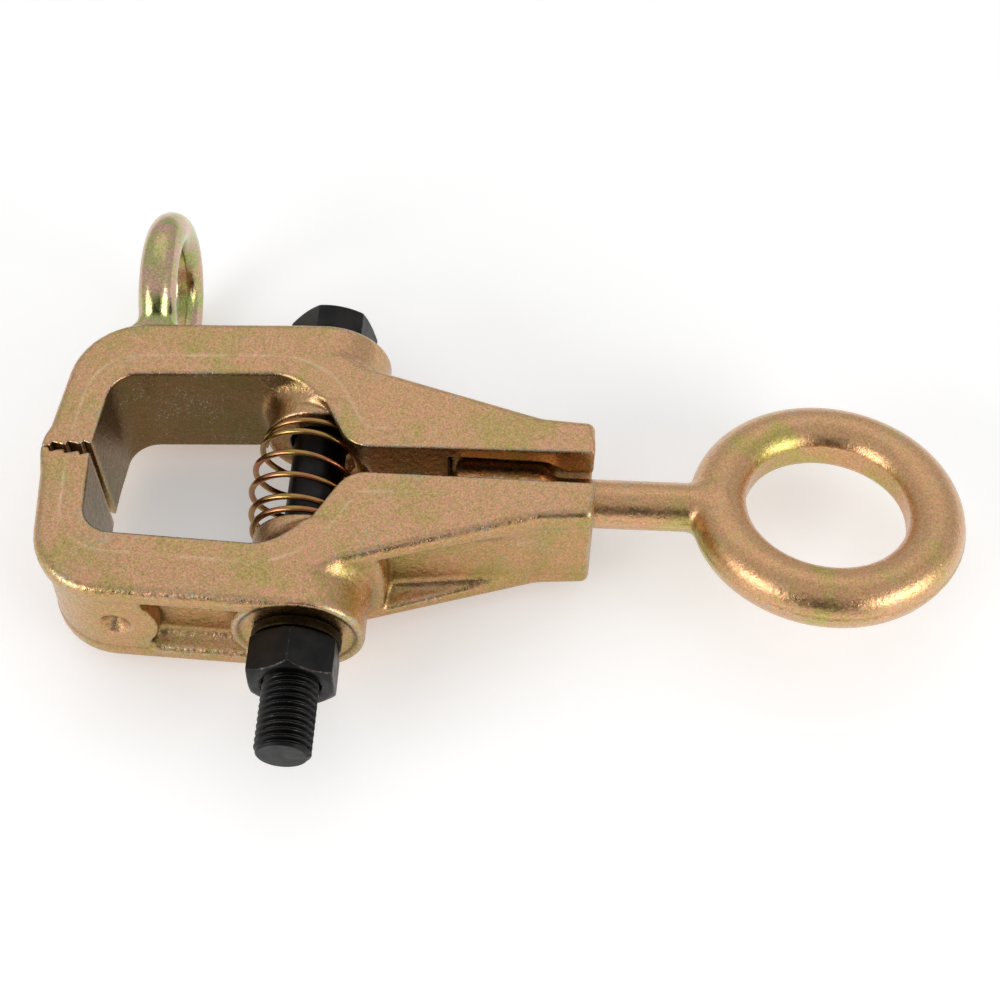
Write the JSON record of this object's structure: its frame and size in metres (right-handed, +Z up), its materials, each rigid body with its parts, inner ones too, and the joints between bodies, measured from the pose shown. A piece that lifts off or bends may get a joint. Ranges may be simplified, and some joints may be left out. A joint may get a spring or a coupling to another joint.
{
  "type": "self-tightening pull clamp",
  "caption": "Hand pull clamp: toothed cast jaws on a cross bolt, a return spring between them, a headed ring eye that wedges the tails apart, and a side eye for a second pull direction.",
  "frame": {"origin": "centre of the main pull ring's hole, on the shank's axis", "axes": "+X along the shank, away from the jaws, which lie at negative X; +Y across the jaws, towards the side eye and the bolt's head; +Z up, square to the flat of the jaws"},
  "size_m": [0.2704, 0.1859, 0.0536],
  "materials": {
    "jaw_plating": "cast steel, blasted, yellow zinc plated; tan-pink gold with olive patches",
    "ring_plating": "forged steel, yellow zinc plated; gold with olive patches",
    "eye_plating": "forged steel, glossy yellow zinc plating with green and pink tints",
    "spring_plating": "spring wire, glossy copper-coloured yellow zinc plating",
    "black_oxide": "satin black oxide",
    "washer_plating": "steel washer, dulled dark brown-gold plating"
  },
  "bodies": {
    "bolt_group": {"cross_bolt": "black_oxide", "head_washer": "washer_plating", "jaw_spring": "spring_plating"},
    "pull_eye": {"pull_eye": "ring_plating", "pull_shank": "ring_plating"},
    "far_jaw": {"far_jaw": "jaw_plating"},
    "near_washer": {"nut_washer": "washer_plating"},
    "near_jaw": {"near_jaw": "jaw_plating"},
    "cross_nut": {"cross_nut": "black_oxide"},
    "side_eye": {"side_eye": "eye_plating"}
  },
  "joints": [
    {"name": "pull_slide", "type": "slide", "parent": "bolt_group", "child": "pull_eye", "axis": [1, 0, 0], "range_m": [-0.002, 0]},
    {"name": "far_rock", "type": "hinge", "parent": "bolt_group", "child": "far_jaw", "pos_m": [-0.152, 0.038, 0], "axis": [0, 0, 1], "range_deg": [-1.5, 0]},
    {"name": "mouth_adjust", "type": "slide", "parent": "bolt_group", "child": "near_washer", "axis": [0, -1, 0], "range_m": [0, 0.012], "deforming": ["jaw_spring"]},
    {"name": "near_rock", "type": "hinge", "parent": "near_washer", "child": "near_jaw", "pos_m": [-0.152, -0.038, 0], "axis": [0, 0, 1], "range_deg": [0, 1.5]},
    {"name": "nut_spin", "type": "hinge", "parent": "near_washer", "child": "cross_nut", "pos_m": [-0.152, -0.058, 0], "axis": [0, -1, 0], "range_deg": [0, 2160]},
    {"name": "side_eye_turn", "type": "hinge", "parent": "far_jaw", "child": "side_eye", "pos_m": [-0.206, 0.048, 0], "axis": [0, 1, 0], "range_deg": [0, 360]}
  ],
  "couplings": [
    {"joint": "far_rock", "follows": "pull_slide", "rad_per_m": 13.09},
    {"joint": "near_rock", "follows": "pull_slide", "rad_per_m": -13.09},
    {"joint": "nut_spin", "follows": "mouth_adjust", "rad_per_m": 3141.6}
  ]
}
